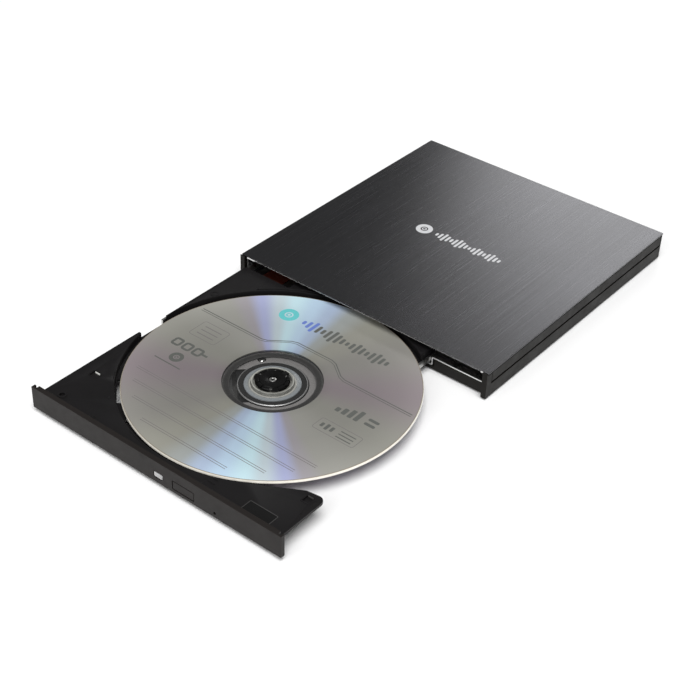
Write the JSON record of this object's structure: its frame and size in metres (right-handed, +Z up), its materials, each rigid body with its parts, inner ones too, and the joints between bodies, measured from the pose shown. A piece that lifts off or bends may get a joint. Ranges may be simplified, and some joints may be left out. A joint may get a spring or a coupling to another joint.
{
  "type": "external optical drive",
  "caption": "Slim external optical disc drive with its tray out on two rails, a disc on the sprung hub, a pickup on its rods, and a brushed metal lid over a grooved black casing.",
  "frame": {"origin": "bottom centre of the whole object with the tray out, on the plane its feet stand on", "axes": "+Y from the tray's front towards the rear of the casing, +X to the right seen from the front, +Z up"},
  "size_m": [0.132, 0.2638, 0.013],
  "materials": {
    "black_aluminium": "brushed, black anodised",
    "side_plastic": "fine texture",
    "bezel_plastic": "fine texture",
    "tray_plastic": "fine texture",
    "steel": "satin",
    "deck_metal": "matt grey",
    "rubber": "matt",
    "board": "satin solder mask",
    "chip": "matt",
    "connector": "satin",
    "flex": "satin film",
    "copper": "enamelled copper wire",
    "lamp_lens": "clear diffusing",
    "disc_face": "silver label side",
    "pickup_metal": "die cast",
    "lens_glass": "coated lens"
  },
  "bodies": {
    "root": {"bridge_board": "board", "bridge_chip": "chip", "bridge_connector": "connector", "bridge_inductor": "chip", "case_screw_left": "steel", "case_screw_right": "steel", "drive_connector": "connector", "drive_pan": "steel", "drive_top_cover": "steel", "flex_cable": "flex", "flex_socket": "connector", "latch_post": "steel", "left_guide": "connector", "lower_shell": "side_plastic", "main_board": "board", "main_chip": "chip", "right_guide": "connector", "rubber_foot_1": "rubber", "rubber_foot_2": "rubber", "rubber_foot_3": "rubber", "rubber_foot_4": "rubber", "top_plate": "black_aluminium", "upper_shell": "side_plastic", "usb_socket": "steel"},
    "tray": {"tray_body": "tray_plastic", "front_bezel": "bezel_plastic", "front_board": "board", "button_switch": "chip", "led_lens": "lamp_lens", "tray_bottom_cover": "steel", "latch_solenoid": "copper", "deck_cover": "deck_metal", "deck_screw_1": "steel", "deck_screw_2": "steel", "deck_screw_3": "steel", "traverse_frame": "connector", "main_guide_rod": "steel", "second_guide_rod": "steel", "stepper_motor": "steel", "spindle_base": "steel", "spindle_stator": "copper"},
    "left_rail": {"left_rail": "steel"},
    "right_rail": {"right_rail": "steel"},
    "eject_button": {"eject_button": "bezel_plastic"},
    "rotor": {"rotor_can": "steel", "turntable": "deck_metal", "rubber_ring": "rubber", "hub": "tray_plastic", "optical_disc": "disc_face"},
    "claw_1": {"hub_claw_1": "tray_plastic"},
    "claw_2": {"hub_claw_2": "tray_plastic"},
    "claw_3": {"hub_claw_3": "tray_plastic"},
    "pickup": {"pickup_sled": "pickup_metal"},
    "lens": {"lens_holder": "chip", "objective_lens": "lens_glass"},
    "lead_screw": {"lead_screw": "steel"},
    "latch_lever": {"latch_lever": "connector"},
    "solenoid_plunger": {"solenoid_plunger": "steel"}
  },
  "joints": [
    {"name": "tray_slide", "type": "slide", "parent": "root", "child": "tray", "axis": [0, 1, 0], "range_m": [0, 0.1197]},
    {"name": "left_rail_slide", "type": "slide", "parent": "root", "child": "left_rail", "axis": [0, 1, 0], "range_m": [0, 0.05985]},
    {"name": "right_rail_slide", "type": "slide", "parent": "root", "child": "right_rail", "axis": [0, 1, 0], "range_m": [0, 0.05985]},
    {"name": "button_press", "type": "slide", "parent": "tray", "child": "eject_button", "axis": [0, 1, 0], "range_m": [0, 0.0006], "stiffness_N_per_m": 200},
    {"name": "disc_spin", "type": "hinge", "parent": "tray", "child": "rotor", "pos_m": [0.0008, -0.0644, 0.0087], "axis": [0, 0, 1], "continuous": true},
    {"name": "claw_1_slide", "type": "slide", "parent": "rotor", "child": "claw_1", "axis": [-0.1736, -0.9848, 0], "range_m": [0, 0.0009], "stiffness_N_per_m": 100},
    {"name": "claw_2_slide", "type": "slide", "parent": "rotor", "child": "claw_2", "axis": [0.9397, 0.342, 0], "range_m": [0, 0.0009]},
    {"name": "claw_3_slide", "type": "slide", "parent": "rotor", "child": "claw_3", "axis": [-0.766, 0.6428, 0], "range_m": [0, 0.0009]},
    {"name": "pickup_slide", "type": "slide", "parent": "tray", "child": "pickup", "axis": [-0.7071, -0.7071, 0], "range_m": [0, 0.0332]},
    {"name": "lead_screw_spin", "type": "hinge", "parent": "tray", "child": "lead_screw", "pos_m": [-0.01412, -0.10322, 0.0052], "axis": [-0.7071, -0.7071, 0], "continuous": true},
    {"name": "lens_focus", "type": "slide", "parent": "pickup", "child": "lens", "axis": [0, 0, 1], "range_m": [-0.0003, 0.0003], "stiffness_N_per_m": 60},
    {"name": "latch_swing", "type": "hinge", "parent": "tray", "child": "latch_lever", "pos_m": [0.0318, -0.1224, 0.0046], "axis": [0, 0, 1], "range_deg": [0, 10], "stiffness_Nm_per_rad": 0.001},
    {"name": "plunger_slide", "type": "slide", "parent": "tray", "child": "solenoid_plunger", "axis": [1, 0, 0], "range_m": [0, 0.00069]}
  ],
  "couplings": [
    {"joint": "left_rail_slide", "follows": "tray_slide", "ratio": 0.5},
    {"joint": "right_rail_slide", "follows": "tray_slide", "ratio": 0.5},
    {"joint": "claw_2_slide", "follows": "claw_1_slide", "ratio": 1},
    {"joint": "claw_3_slide", "follows": "claw_1_slide", "ratio": 1},
    {"joint": "lead_screw_spin", "follows": "pickup_slide", "rad_per_m": 2094.4},
    {"joint": "plunger_slide", "follows": "latch_swing", "m_per_rad": 0.00395}
  ]
}
